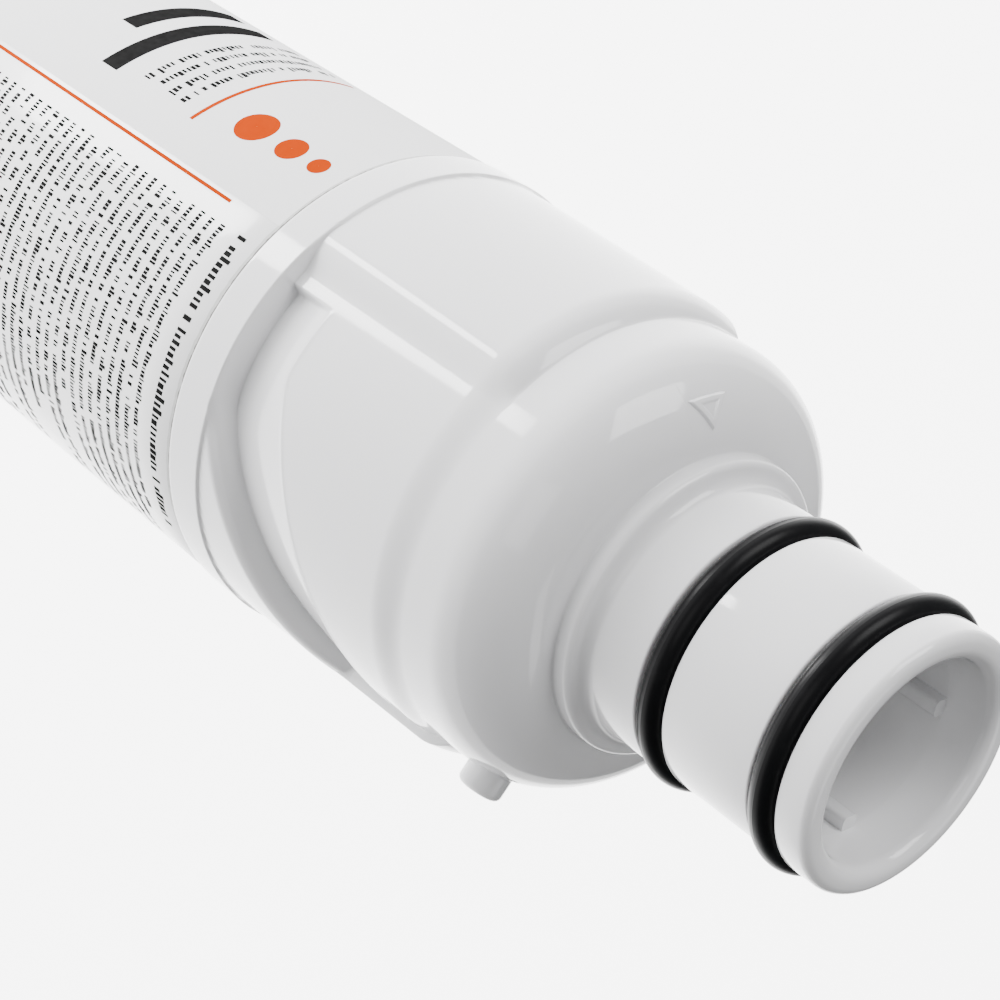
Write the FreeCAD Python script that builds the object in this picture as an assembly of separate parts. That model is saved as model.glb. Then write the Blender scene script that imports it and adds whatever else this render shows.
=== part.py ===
import FreeCAD, Part
import math
import os

# Twist-in water filter cartridge, standing on its flat end with the spigot up.
# Millimetres. The cartridge axis is +Z, the base lies in z = 0, angles run
# anticlockwise from +X seen from above.

# Canister and label
overall_length = 244.0
body_radius = 32.8
body_wall = 3.0
label_margin = 16.0
label_film = 0.2

# Head of the housing
band_proud = 0.5
band_length = 6.2
band_round = 0.8
head_step = 0.35
head_draft = 0.5
shoulder_height = 44.0
shoulder_step = 2.05
shoulder_round = 7.0
dome_height = 59.0
dome_round = 10.0
dome_ledge = 0.2
head_wall = 3.0
groove_wall = 2.8

# Bayonet recesses: a shallow sector with a deeper cam groove along its lower wall
recess_count = 2
recess_start_angle = 251.0
recess_sweep_angle = 105.0
recess_ramp_angle = 6.0
recess_depth = 1.75
cam_groove_start_angle = 258.5
cam_kink_angle = 290.0
cam_groove_width = 8.2
cam_groove_climb_width = 12.0
cam_groove_depth = 1.8
cam_lead = 101.0

# Key peg above the shoulder, and the raised alignment arrow on the dome
peg_angle = 0.0
peg_rise = 5.5
peg_radius = 3.0
peg_length = 2.8
peg_tip_round = 0.9
peg_pad_radius = 5.0
peg_pad_depth = 0.8
arrow_angle = 214.5
arrow_inset = 5.2
arrow_length = 4.4
arrow_width = 6.0
arrow_relief = 0.35

# Collar and spigot
collar_ledge = 3.0
collar_thickness = 2.5
collar_round = 0.8
spigot_length = 35.5
spigot_radius = 17.0
spigot_wall = 1.9
neck_swell = 0.3
neck_fillet = 1.6
lip_length = 4.8
lip_round = 1.2
land_length = 13.8
o_ring_section = 3.5
o_ring_stand_out = 1.2
groove_side_clearance = 0.35
mouth_flare = 0.6
mouth_depth = 5.0
mouth_round = 1.6
rib_count = 4
rib_first_angle = 35.0
rib_thickness = 2.2
rib_reach = 1.8
rib_set_back = 6.5

# Welded end cap
cap_height = 10.0
cap_floor = 6.0
cap_edge_round = 1.5
foot_width = 8.8
foot_height = 1.0
plug_height = 8.0
plug_clearance = 0.15
plug_element_gap = 0.45
socket_height = 5.0
socket_wall = 2.0

# Filter element
water_gap = 1.0
block_core_radius = 7.0
block_rise = 29.0
wrap_thickness = 0.8
netting_thickness = 0.6
element_cap_thickness = 3.0
element_skirt_height = 6.0
element_skirt_wall = 0.9
element_clearance = 0.1
element_plug_length = 6.0
boss_radius = 6.0
boss_length = 8.0
boss_clearance = 0.2
outlet_tube_radius = 6.5
outlet_tube_bore = 4.5
outlet_tube_set_back = 19.0
fin_count = 4
fin_thickness = 1.6
fin_clearance = 0.2

# Radii worked out from the sizes above
band_radius = body_radius + band_proud
head_radius = band_radius - head_step
shoulder_radius = head_radius - head_draft
tier_radius = shoulder_radius - shoulder_step
recess_radius = head_radius - recess_depth
cam_foot_radius = recess_radius - cam_groove_depth
body_inner_radius = body_radius - body_wall
head_inner_radius = cam_foot_radius - groove_wall
collar_radius = spigot_radius + collar_ledge
dome_curve = min(dome_round, tier_radius - collar_radius - dome_ledge)
neck_radius = spigot_radius + neck_swell
groove_floor_radius = spigot_radius + o_ring_stand_out - o_ring_section
bore_radius = groove_floor_radius - spigot_wall
mouth_radius = bore_radius + mouth_flare
skirt_outer_radius = head_inner_radius - water_gap
skirt_inner_radius = skirt_outer_radius - element_skirt_wall
netting_radius = skirt_inner_radius - element_clearance
wrap_radius = netting_radius - netting_thickness
block_radius = wrap_radius - wrap_thickness
plug_radius = body_inner_radius - plug_clearance
socket_radius = boss_radius + boss_clearance
outer_reach = 2 * band_radius

# Levels worked out from the sizes above
collar_top = overall_length - spigot_length
dome_top = collar_top - collar_thickness
label_top = dome_top - dome_height
label_bottom = label_margin
band_top = label_top + band_length
shoulder_top = label_top + shoulder_height
ceiling = dome_top - head_wall
groove_width = o_ring_section + 2 * groove_side_clearance
front_groove_top = overall_length - lip_length
front_groove_bottom = front_groove_top - groove_width
rear_groove_top = front_groove_bottom - land_length
rear_groove_bottom = rear_groove_top - groove_width
block_bottom = cap_floor + boss_length + element_cap_thickness
block_top = label_top + block_rise
outlet_tube_top = overall_length - outlet_tube_set_back
cam_rise = shoulder_top - band_top

Z = FreeCAD.Vector(0, 0, 1)
ORIGIN = FreeCAD.Vector(0, 0, 0)


def at(radius, height, angle=0.0):
    """Point at a radius and height, turned about the axis by an angle in degrees."""
    turn = math.radians(angle)
    return FreeCAD.Vector(radius * math.cos(turn), radius * math.sin(turn), height)


def line(start, end):
    return Part.makeLine(start, end)


def corner_arc(start, end, centre):
    """Quarter-round from start to end about a centre, through the middle of the arc."""
    out = (start - centre) + (end - centre)
    out.normalize()
    middle = centre + out * (start - centre).Length
    return Part.Arc(start, middle, end).toShape()


def polygon(points):
    return Part.Face(Part.makePolygon(points + points[:1]))


def revolved(edges, angle=360.0):
    """Solid of a closed radius-height outline turned about the axis."""
    return Part.Face(Part.Wire(edges)).revolve(ORIGIN, Z, angle)


def ring(inner, outer, bottom, top):
    """Plain tube or disc between two radii and two heights."""
    disc = Part.makeCylinder(outer, top - bottom, FreeCAD.Vector(0, 0, bottom))
    if inner <= 0:
        return disc
    return disc.cut(Part.makeCylinder(inner, top - bottom, FreeCAD.Vector(0, 0, bottom)))


def turned(shape, angle):
    copy = shape.copy()
    copy.rotate(ORIGIN, Z, angle)
    return copy


def radial_bar(inner, outer, thickness, bottom, top, angle):
    """Upright bar along a radius."""
    corner = FreeCAD.Vector(inner, -thickness / 2, bottom)
    return turned(Part.makeBox(outer - inner, thickness, top - bottom, corner), angle)


def head_outline(radius_at_band, radius_at_shoulder):
    """Outer outline of the housing, from the weld seam up to the spigot rim."""
    edge_round = min(band_round, band_radius - radius_at_band)
    edge_radius = band_radius - edge_round
    edge_corner = band_top - edge_round
    drop = radius_at_shoulder - tier_radius
    shoulder_corner = shoulder_top - math.sqrt(drop * (2 * shoulder_round - drop))
    dome_centre = dome_top - dome_curve
    points = [
        at(0, cap_height),
        at(body_radius, cap_height),
        at(body_radius, label_top),
        at(band_radius, label_top),
        at(band_radius, edge_corner),
    ]
    edges = [line(a, b) for a, b in zip(points, points[1:])]
    edge_end = at(edge_radius, band_top)
    edges.append(corner_arc(points[-1], edge_end, at(edge_radius, edge_corner)))
    band_end = at(radius_at_band, band_top)
    if band_end.distanceToPoint(edge_end) > 1e-6:
        edges.append(line(edge_end, band_end))
    shoulder = at(radius_at_shoulder, shoulder_corner)
    edges.append(line(band_end, shoulder))
    tier = at(tier_radius, shoulder_top)
    edges.append(corner_arc(shoulder, tier, at(radius_at_shoulder - shoulder_round, shoulder_corner)))
    dome_start = at(tier_radius, dome_centre)
    dome_end = at(tier_radius - dome_curve, dome_top)
    edges.append(line(tier, dome_start))
    edges.append(corner_arc(dome_start, dome_end, at(tier_radius - dome_curve, dome_centre)))
    edges.extend(spigot_outline(dome_end))
    edges.append(line(at(0, overall_length), points[0]))
    return edges


def spigot_outline(dome_end):
    """Collar, neck, two O-ring grooves and lip, ending on the axis at the rim."""
    collar_foot = at(collar_radius, dome_top)
    collar_side = at(collar_radius, collar_top - collar_round)
    collar_face = at(collar_radius - collar_round, collar_top)
    collar_centre = at(collar_radius - collar_round, collar_top - collar_round)
    neck_foot = at(neck_radius + neck_fillet, collar_top)
    neck_side = at(neck_radius, collar_top + neck_fillet)
    lip_side = at(spigot_radius, overall_length - lip_round)
    lip_end = at(spigot_radius - lip_round, overall_length)
    grooves = [
        neck_side,
        at(neck_radius, rear_groove_bottom),
        at(groove_floor_radius, rear_groove_bottom),
        at(groove_floor_radius, rear_groove_top),
        at(spigot_radius, rear_groove_top),
        at(spigot_radius, front_groove_bottom),
        at(groove_floor_radius, front_groove_bottom),
        at(groove_floor_radius, front_groove_top),
        at(spigot_radius, front_groove_top),
        lip_side,
    ]
    edges = [line(dome_end, collar_foot), line(collar_foot, collar_side)]
    edges.append(corner_arc(collar_side, collar_face, collar_centre))
    edges.append(line(collar_face, neck_foot))
    edges.append(corner_arc(neck_foot, neck_side, at(neck_radius + neck_fillet, collar_top + neck_fillet)))
    edges.extend(line(a, b) for a, b in zip(grooves, grooves[1:]))
    edges.append(corner_arc(lip_side, lip_end, at(spigot_radius - lip_round, overall_length - lip_round)))
    edges.append(line(lip_end, at(0, overall_length)))
    return edges


def housing_cavity():
    """Hollow of the canister, head and spigot, with the flared mouth at the rim."""
    inner_round = max(head_inner_radius - (tier_radius - dome_curve), head_wall)
    taper_bottom = label_top - 2 * (body_inner_radius - head_inner_radius)
    round_start = at(head_inner_radius, ceiling - inner_round)
    round_end = at(head_inner_radius - inner_round, ceiling)
    round_centre = at(head_inner_radius - inner_round, ceiling - inner_round)
    mouth_low = at(mouth_radius, overall_length - mouth_round)
    mouth_high = at(mouth_radius + mouth_round, overall_length)
    mouth_centre = at(mouth_radius + mouth_round, overall_length - mouth_round)
    lower = [
        at(0, cap_height),
        at(body_inner_radius, cap_height),
        at(body_inner_radius, taper_bottom),
        at(head_inner_radius, label_top),
        round_start,
    ]
    upper = [
        round_end,
        at(bore_radius, ceiling),
        at(bore_radius, overall_length - mouth_depth - mouth_round),
        mouth_low,
    ]
    edges = [line(a, b) for a, b in zip(lower, lower[1:])]
    edges.append(corner_arc(round_start, round_end, round_centre))
    edges.extend(line(a, b) for a, b in zip(upper, upper[1:]))
    edges.append(corner_arc(mouth_low, mouth_high, mouth_centre))
    edges.append(line(mouth_high, at(0, overall_length)))
    edges.append(line(at(0, overall_length), lower[0]))
    return revolved(edges)


def screw_sweep(profile, lead_in=0.0):
    """Solid of a radius-height outline carried up the cam's helix, which passes the kink at the band."""
    helix = Part.makeHelix(cam_lead, cam_rise + lead_in, cam_foot_radius)
    outline = Part.makePolygon(profile + profile[:1])
    start_angle = cam_kink_angle - 360.0 * lead_in / cam_lead
    sweep = turned(Part.Wire(helix.Edges).makePipeShell([outline], True, True), start_angle)
    sweep.translate(Z * (band_top - lead_in))
    return sweep


def recess_limits():
    """Wedge of space that a recess and its groove stay in, open towards the spigot."""
    angle = recess_sweep_angle + recess_ramp_angle
    wedge = Part.makeCylinder(2 * outer_reach, cam_rise, FreeCAD.Vector(0, 0, band_top), Z, angle)
    return turned(wedge, recess_start_angle - recess_ramp_angle)


def arc_about_axis(radius, start_angle, end_angle):
    middle_angle = (start_angle + end_angle) / 2
    points = [at(radius, 0, angle) for angle in (start_angle, middle_angle, end_angle)]
    return Part.Arc(*points).toShape()


def recess_region():
    """Space of one recess: a sector with a ramped end, then the part above the cam's helix."""
    inner = tier_radius / 2
    ramp_start = recess_start_angle - recess_ramp_angle / 2
    ramp_end = recess_start_angle + recess_ramp_angle / 2
    ramp_foot = at(recess_radius, 0, ramp_end)
    ramp_head = at(head_radius, 0, ramp_start)
    ramp_out = ramp_head + (ramp_head - ramp_foot)
    outline = [
        line(at(inner, 0, ramp_end), ramp_foot),
        line(ramp_foot, ramp_out),
        line(ramp_out, at(outer_reach, 0, ramp_start)),
        arc_about_axis(outer_reach, ramp_start, cam_kink_angle),
        line(at(outer_reach, 0, cam_kink_angle), at(inner, 0, cam_kink_angle)),
        arc_about_axis(inner, cam_kink_angle, ramp_end),
    ]
    sector = Part.Face(Part.Wire(outline)).extrude(Z * cam_rise)
    sector.translate(Z * band_top)
    above = [at(inner, 0), at(outer_reach, 0), at(outer_reach, cam_rise), at(inner, cam_rise)]
    return sector.fuse(screw_sweep(above)).common(recess_limits())


def groove_wedge(width):
    """Outline of the groove, deepest at the wall and running out at a given width."""
    return [at(cam_foot_radius, 0), at(outer_reach, 0), at(outer_reach, width), at(recess_radius, width)]


def cam_groove():
    """Deeper groove along the recess's lower wall: level at its closed end, then wider up the helix."""
    closed_end = polygon(groove_wedge(cam_groove_width))
    closed_end = closed_end.revolve(ORIGIN, Z, cam_kink_angle - cam_groove_start_angle)
    closed_end = turned(closed_end, cam_groove_start_angle)
    closed_end.translate(Z * band_top)
    climbing = screw_sweep(groove_wedge(cam_groove_climb_width), cam_groove_climb_width - cam_groove_width)
    return closed_end.fuse(climbing).common(recess_limits())


def key_peg():
    """Round peg standing out along a radius, with a rounded tip."""
    root = (head_inner_radius + tier_radius) / 2
    tip = tier_radius + peg_length
    peg = Part.makeCylinder(peg_radius, tip - root, at(root, 0), FreeCAD.Vector(1, 0, 0))
    rim = max(peg.Edges, key=lambda edge: edge.CenterOfMass.x)
    peg = turned(peg.makeFillet(peg_tip_round, [rim]), peg_angle)
    peg.translate(Z * (shoulder_top + peg_rise))
    return peg


def peg_pad():
    """Spot face that the peg stands on."""
    flat = tier_radius - peg_pad_depth
    pad = Part.makeCylinder(peg_pad_radius, outer_reach, at(flat, 0), FreeCAD.Vector(1, 0, 0))
    pad = turned(pad, peg_angle)
    pad.translate(Z * (shoulder_top + peg_rise))
    return pad


def alignment_arrow():
    """Raised triangle on the dome, pointing at the spigot."""
    ring_radius = tier_radius - dome_curve
    dome_centre = dome_top - dome_curve
    arrow_radius = tier_radius - arrow_inset
    lean = math.acos((arrow_radius - ring_radius) / dome_curve)
    height = dome_centre + dome_curve * math.sin(lean)
    outward = FreeCAD.Vector(math.cos(lean), 0, math.sin(lean))
    uphill = FreeCAD.Vector(-math.sin(lean), 0, math.cos(lean))
    centre = at(arrow_radius, height) - outward * dome_curve / 2
    half = FreeCAD.Vector(0, arrow_width / 2, 0)
    tip = centre + uphill * (arrow_length / 2)
    foot = centre - uphill * (arrow_length / 2)
    prism = polygon([tip, foot + half, foot - half]).extrude(outward * dome_curve)
    skin = Part.makeTorus(ring_radius, dome_curve + arrow_relief, FreeCAD.Vector(0, 0, dome_centre))
    return turned(prism.common(skin), arrow_angle)


def housing():
    """Canister, head and spigot as one moulding."""
    full = revolved(head_outline(head_radius, shoulder_radius))
    reduced = revolved(head_outline(recess_radius, recess_radius))
    recess = recess_region().cut(reduced)
    groove = cam_groove()
    for k in range(recess_count):
        full = full.cut(turned(recess, k * 360.0 / recess_count))
        full = full.cut(turned(groove, k * 360.0 / recess_count))
    solid = full.cut(peg_pad()).fuse([key_peg(), alignment_arrow()]).cut(housing_cavity())
    rib_inner = bore_radius - rib_reach
    rib_outer = bore_radius + spigot_wall / 2
    rib_top = overall_length - rib_set_back
    ribs = []
    for k in range(rib_count):
        angle = rib_first_angle + k * 360.0 / rib_count
        ribs.append(radial_bar(rib_inner, rib_outer, rib_thickness, collar_top, rib_top, angle))
    return solid.fuse(ribs).removeSplitter()


def end_cap():
    """Flat welded end with a dished underside, a locating plug and a socket for the element."""
    plug_inner_radius = skirt_outer_radius + plug_element_gap
    outline = [
        at(0, foot_height),
        at(body_radius - foot_width, foot_height),
        at(body_radius - foot_width, 0),
        at(body_radius - cap_edge_round, 0),
    ]
    edges = [line(a, b) for a, b in zip(outline, outline[1:])]
    side = at(body_radius, cap_edge_round)
    edges.append(corner_arc(outline[-1], side, at(body_radius - cap_edge_round, cap_edge_round)))
    upper = [
        side,
        at(body_radius, cap_height),
        at(plug_radius, cap_height),
        at(plug_radius, cap_height + plug_height),
        at(plug_inner_radius, cap_height + plug_height),
        at(plug_inner_radius, cap_floor),
        at(0, cap_floor),
        outline[0],
    ]
    edges.extend(line(a, b) for a, b in zip(upper, upper[1:]))
    socket = ring(socket_radius, socket_radius + socket_wall, cap_floor, cap_floor + socket_height)
    return revolved(edges).fuse(socket)


def spigot_o_ring(groove_bottom):
    """Round-section seal seated on the floor of its groove."""
    centre_radius = groove_floor_radius + o_ring_section / 2
    height = groove_bottom + groove_width / 2
    return Part.makeTorus(centre_radius, o_ring_section / 2, FreeCAD.Vector(0, 0, height))


def element_top_cap():
    """Disc with a skirt, a plug in the block's core, centring fins and the outlet tube."""
    disc_top = block_top + element_cap_thickness
    cap = ring(0, skirt_outer_radius, block_top, disc_top)
    skirt = ring(skirt_inner_radius, skirt_outer_radius, block_top - element_skirt_height, block_top)
    plug = ring(0, block_core_radius - element_clearance, block_top - element_plug_length, block_top)
    tube = ring(0, outlet_tube_radius, disc_top, outlet_tube_top)
    fins = []
    for k in range(fin_count):
        reach = head_inner_radius - fin_clearance
        foot = (skirt_inner_radius + skirt_outer_radius) / 2
        bottom = block_top - element_skirt_height
        fins.append(radial_bar(foot, reach, fin_thickness, bottom, disc_top, k * 360.0 / fin_count))
    channel = ring(0, outlet_tube_bore, block_top - element_plug_length, outlet_tube_top)
    return cap.fuse([skirt, plug, tube] + fins).cut(channel).removeSplitter()


def element_bottom_cap():
    """Closed disc with a skirt, a core plug and the boss that seats in the end cap."""
    disc_bottom = block_bottom - element_cap_thickness
    cap = ring(0, skirt_outer_radius, disc_bottom, block_bottom)
    skirt = ring(skirt_inner_radius, skirt_outer_radius, block_bottom, block_bottom + element_skirt_height)
    plug = ring(0, block_core_radius - element_clearance, block_bottom, block_bottom + element_plug_length)
    boss = ring(0, boss_radius, cap_floor, disc_bottom)
    return cap.fuse([skirt, plug, boss]).removeSplitter()


def element_layer(inner, outer):
    """Part of the element that runs the whole length between its two caps."""
    return ring(inner, outer, block_bottom, block_top)


os.makedirs("parts", exist_ok=True)
nodes = {
    "housing": housing(),
    "end_cap": end_cap(),
    "label_sleeve": ring(body_radius, body_radius + label_film, label_bottom, label_top),
    "spigot_o_ring_front": spigot_o_ring(front_groove_bottom),
    "spigot_o_ring_rear": spigot_o_ring(rear_groove_bottom),
    "carbon_block": element_layer(block_core_radius, block_radius),
    "prefilter_wrap": element_layer(block_radius, wrap_radius),
    "netting_sleeve": element_layer(wrap_radius, netting_radius),
    "element_top_cap": element_top_cap(),
    "element_bottom_cap": element_bottom_cap(),
}
for name, shape in nodes.items():
    shape.exportStep("parts/" + name + ".step")
    print(name, len(shape.Solids), shape.isValid(), round(shape.Volume / 1000.0, 2))
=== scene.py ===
import logging
import math
from dataclasses import dataclass, field
from enum import Enum
from typing import Callable, Sequence

import bpy
import numpy as np
from mathutils import Matrix, Quaternion, Vector


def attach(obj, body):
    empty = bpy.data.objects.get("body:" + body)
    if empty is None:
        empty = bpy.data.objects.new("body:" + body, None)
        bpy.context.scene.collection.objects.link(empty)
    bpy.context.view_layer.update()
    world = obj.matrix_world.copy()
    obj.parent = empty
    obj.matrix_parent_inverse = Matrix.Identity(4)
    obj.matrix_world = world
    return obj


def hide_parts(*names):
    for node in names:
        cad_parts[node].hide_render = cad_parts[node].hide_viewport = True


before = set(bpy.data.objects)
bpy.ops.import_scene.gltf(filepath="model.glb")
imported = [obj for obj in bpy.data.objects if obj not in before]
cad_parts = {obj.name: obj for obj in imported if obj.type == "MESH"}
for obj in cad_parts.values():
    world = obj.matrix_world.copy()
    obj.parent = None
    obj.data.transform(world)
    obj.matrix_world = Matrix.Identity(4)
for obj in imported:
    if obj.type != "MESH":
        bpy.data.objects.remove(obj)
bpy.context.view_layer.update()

LOG = logging.getLogger("cartridge")
MM = 0.001
BODY = "root"

# Radius in millimetres of the hole left in the middle of a round face
PINHOLE = 0.02

Pair = tuple[float, float]
Triple = tuple[float, float, float]
Colour = tuple[float, float, float, float]
Inputs = dict[str | int, object]
Node = bpy.types.Node
Socket = bpy.types.NodeSocket


class Slot(Enum):
    """Material slots of the record, one for each kind of new piece."""

    HOUSING = "housing_plastic"
    LABEL = "label_film"


class Ink(Enum):
    """Inks of the label's plain print."""

    PANEL = "panel"
    DARK = "dark"
    ACCENT = "accent"


class Draw(Enum):
    """Random draws of the small print, each added to its block's seed."""

    INKED = 1.0
    WIDTH = 2.0
    ROW_END = 3.0
    HEIGHT = 4.0


@dataclass(frozen=True)
class Grain:
    """Noise of a finish: scale per metre, detail, and height in a bump."""

    scale: float
    detail: float
    height: float = 1.0


class TreeBuilder:
    """Adds and joins the nodes of one node tree."""

    def __init__(self, tree: bpy.types.NodeTree) -> None:
        """Keeps the tree that the nodes go in."""
        self.tree = tree

    def feed(self, node: Node, inputs: Inputs) -> None:
        """Sets a node's inputs, or links them to sockets.

        Args:
            node: The node.
            inputs: Values or sockets by input name or index.
        """
        for name, value in inputs.items():
            if isinstance(value, Socket):
                self.tree.links.new(value, node.inputs[name])
            else:
                node.inputs[name].default_value = value

    def add(self, kind: str, inputs: Inputs | None = None, **settings: object) -> Node:
        """Adds a node.

        Args:
            kind: Blender's name of the node's type.
            inputs: Values or sockets by input name or index.
            settings: Attributes of the node.

        Returns:
            The new node.
        """
        node = self.tree.nodes.new(kind)
        for name, value in settings.items():
            setattr(node, name, value)
        self.feed(node, inputs or {})
        return node

    def math(self, operation: str, first: object, second: object = 0.0) -> Socket:
        """Adds a math node and returns its result."""
        return self.add("ShaderNodeMath", {0: first, 1: second}, operation=operation).outputs[0]

    def vector(self, **axes: object) -> Socket:
        """Adds a vector from values or sockets of its axes X, Y and Z and returns it."""
        return self.add("ShaderNodeCombineXYZ", axes).outputs[0]

    def axes(self, vector: Socket) -> Sequence[Socket]:
        """Takes a vector apart and returns the sockets of its three axes."""
        return self.add("ShaderNodeSeparateXYZ", {0: vector}).outputs


class ShaderNodes(TreeBuilder):
    """Adds the nodes of one shader tree."""

    def step(self, value: Socket, low: float, high: float, to: Pair) -> Socket:
        """Adds a smooth step from one result at low to another at high and returns it."""
        inputs = {0: value, 1: low, 2: high, 3: to[0], 4: to[1]}
        return self.add("ShaderNodeMapRange", inputs, interpolation_type="SMOOTHSTEP").outputs[0]

    def noise(self, place: Socket, grain: Grain) -> Socket:
        """Adds noise and returns its value."""
        inputs = {"Vector": place, "Scale": grain.scale, "Detail": grain.detail}
        return self.add("ShaderNodeTexNoise", inputs).outputs["Fac"]

    def relief(self, place: Socket, grain: Grain) -> Socket:
        """Adds noise of the grain's height and returns it."""
        return self.math("MULTIPLY", self.noise(place, grain), grain.height)

    def mix(self, share: Socket, first: object, second: object) -> Socket:
        """Adds a mix of two colours by the second one's share and returns it."""
        return self.add("ShaderNodeMix", {0: share, 6: first, 7: second}, data_type="RGBA").outputs[2]

    def bump(self, strength: float, depth: float, height: Socket) -> Socket:
        """Adds a bump of a depth in metres and returns its normal."""
        inputs = {"Strength": strength, "Distance": depth, "Height": height}
        return self.add("ShaderNodeBump", inputs).outputs[0]


def grey(value: float, tint: float = 0.0) -> Colour:
    """Grey colour with a little more blue."""
    return (value, value, value + tint, 1.0)


class Finish:
    """Base of the finishes: a named material with shader inputs of its own."""

    name: str

    def material(self) -> bpy.types.Material:
        """Makes the material once.

        Returns:
            The material.
        """
        known = bpy.data.materials.get(self.name)
        if known is not None:
            return known
        made = bpy.data.materials.new(self.name)
        made.use_nodes = True
        made.node_tree.nodes.clear()
        nodes = ShaderNodes(made.node_tree)
        shader = nodes.add("ShaderNodeBsdfPrincipled")
        nodes.add("ShaderNodeOutputMaterial", {0: shader.outputs[0]})
        place = nodes.add("ShaderNodeTexCoord").outputs["Object"]
        nodes.feed(shader, self.inputs(nodes, place))
        return made

    def inputs(self, nodes: ShaderNodes, place: Socket) -> Inputs:
        """Shader inputs by name. Each finish has its own."""
        raise NotImplementedError


@dataclass(frozen=True)
class PlasticFinish(Finish):
    """Glossy white moulded plastic with faint flow marks, specks and parting lines. Metres."""

    name: str
    colour: Colour = (0.69, 0.69, 0.695, 1.0)
    tint: Colour = (0.66, 0.66, 0.675, 1.0)
    flow: Grain = Grain(28.0, 3.0)
    speck_grey: float = 0.30
    speck_cells: float = 95.0
    speck_edge: Pair = (0.010, 0.022)
    speck_rarity: float = 0.90
    gloss: Grain = Grain(160.0, 4.0)
    roughness: Pair = (0.07, 0.11)
    refraction: float = 1.5
    specular: float = 0.45
    scatter_share: float = 0.12
    scatter_radius: Triple = (1.0, 0.95, 0.9)
    scatter_depth: float = 0.0015
    waves: Grain = Grain(45.0, 1.0, 1.6)
    skin: Grain = Grain(1400.0, 2.0, 0.05)
    parting_angle: float = math.radians(222.0)
    parting_width: float = 0.00012
    parting_height: float = 0.5
    bump_strength: float = 0.22
    bump_depth: float = 0.00008

    def inputs(self, nodes: ShaderNodes, place: Socket) -> Inputs:
        """Flow marks in the colour, sparse specks, uneven gloss and a fine bump.

        Args:
            nodes: The material's nodes.
            place: Object coordinates.

        Returns:
            The shader's inputs by name.
        """
        cells = nodes.add("ShaderNodeTexVoronoi", {"Vector": place, "Scale": self.speck_cells}).outputs
        chance = nodes.add("ShaderNodeSeparateColor", {"Color": cells["Color"]}).outputs[0]
        dot = nodes.step(cells["Distance"], *self.speck_edge, (1.0, 0.0))
        speck = nodes.math("MULTIPLY", dot, nodes.math("GREATER_THAN", chance, self.speck_rarity))
        plain = nodes.mix(nodes.noise(place, self.flow), self.colour, self.tint)
        low, high = self.roughness
        gloss = {"Value": nodes.noise(place, self.gloss), "To Min": low, "To Max": high}
        return {
            "Base Color": nodes.mix(speck, plain, grey(self.speck_grey)),
            "Roughness": nodes.add("ShaderNodeMapRange", gloss).outputs[0],
            "IOR": self.refraction,
            "Specular IOR Level": self.specular,
            "Subsurface Weight": self.scatter_share,
            "Subsurface Radius": self.scatter_radius,
            "Subsurface Scale": self.scatter_depth,
            "Normal": self.bump(nodes, place),
        }

    def bump(self, nodes: ShaderNodes, place: Socket) -> Socket:
        """Slow sink marks, a fine skin and two opposite parting lines.

        Args:
            nodes: The material's nodes.
            place: Object coordinates.

        Returns:
            The normal's socket.
        """
        x, y, _ = nodes.axes(place)
        turn = nodes.math("SUBTRACT", nodes.math("ARCTAN2", y, x), self.parting_angle)
        radius = nodes.add("ShaderNodeVectorMath", {0: nodes.vector(X=x, Y=y)}, operation="LENGTH")
        off = nodes.math("MULTIPLY", nodes.math("SINE", turn), radius.outputs["Value"])
        seam = nodes.step(
            nodes.math("ABSOLUTE", off), 0.0, self.parting_width, (self.parting_height, 0.0)
        )
        surface = nodes.math("ADD", nodes.relief(place, self.waves), nodes.relief(place, self.skin))
        return nodes.bump(self.bump_strength, self.bump_depth, nodes.math("ADD", surface, seam))


@dataclass(frozen=True)
class RubberFinish(Finish):
    """Smooth black rubber with a grease sheen and a fine mould line round each ring. Metres."""

    name: str
    colour: Colour = (0.004, 0.004, 0.0045, 1.0)
    bloom: Colour = (0.010, 0.010, 0.011, 1.0)
    cloud: Grain = Grain(220.0, 4.0)
    bloom_edge: Pair = (0.52, 0.78)
    bloom_share: float = 0.6
    gloss_edge: Pair = (0.3, 0.75)
    roughness: Pair = (0.30, 0.36)
    specular: float = 0.08
    line_heights: Pair = (0.2191, 0.2371)
    line_edge: Pair = (0.00002, 0.00014)
    line_relief: float = 0.8
    skin: Grain = Grain(1800.0, 1.0, 0.04)
    bump_strength: float = 0.15
    bump_depth: float = 0.00004

    def inputs(self, nodes: ShaderNodes, place: Socket) -> Inputs:
        """Uneven gloss, faint bloom and the mould lines.

        Args:
            nodes: The material's nodes.
            place: Object coordinates.

        Returns:
            The shader's inputs by name.
        """
        cloud = nodes.noise(place, self.cloud)
        bloom = nodes.step(cloud, *self.bloom_edge, (0.0, self.bloom_share))
        height = nodes.axes(place)[2]
        lines = [nodes.math("ABSOLUTE", nodes.math("SUBTRACT", height, z)) for z in self.line_heights]
        line = nodes.step(nodes.math("MINIMUM", *lines), *self.line_edge, (self.line_relief, 0.0))
        surface = nodes.math("ADD", line, nodes.relief(place, self.skin))
        return {
            "Base Color": nodes.mix(bloom, self.colour, self.bloom),
            "Roughness": nodes.step(cloud, *self.gloss_edge, self.roughness),
            "Specular IOR Level": self.specular,
            "Normal": nodes.bump(self.bump_strength, self.bump_depth, surface),
        }


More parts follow.
